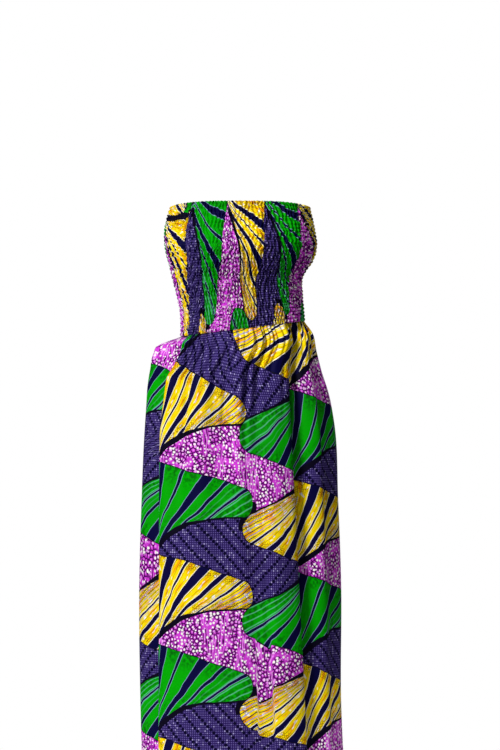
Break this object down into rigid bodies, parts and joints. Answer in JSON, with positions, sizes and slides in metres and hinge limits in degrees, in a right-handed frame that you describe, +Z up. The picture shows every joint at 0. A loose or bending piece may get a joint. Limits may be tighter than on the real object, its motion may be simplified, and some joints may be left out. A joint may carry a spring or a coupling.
{
  "type": "strapless shirred ankara wax print maxi dress",
  "caption": "Strapless ankle-length dress: a shirred elastic tube bodice over a long skirt gathered into the waist seam, open at chest and hem, in its hollow worn form.",
  "frame": {"origin": "middle of the chest opening at the level of the first elastic row, where the wearer's chest holds the dress up", "axes": "+Z up along the dress, -Y towards the front of the dress, +X to the right as seen from the front"},
  "size_m": [0.4378, 0.3284, 1.24],
  "materials": {
    "bodice_cloth": "shirred wax print cotton, violet, green, yellow and orchid, matt with a faint wax sheen",
    "skirt_cloth": "wax print cotton in green, yellow, orchid and dotted violet, crisp and smooth with a faint sheen"
  },
  "bodies": {
    "root": {"bodice_front": "bodice_cloth", "bodice_back": "bodice_cloth", "skirt_front": "skirt_cloth", "skirt_back": "skirt_cloth"}
  },
  "joints": []
}
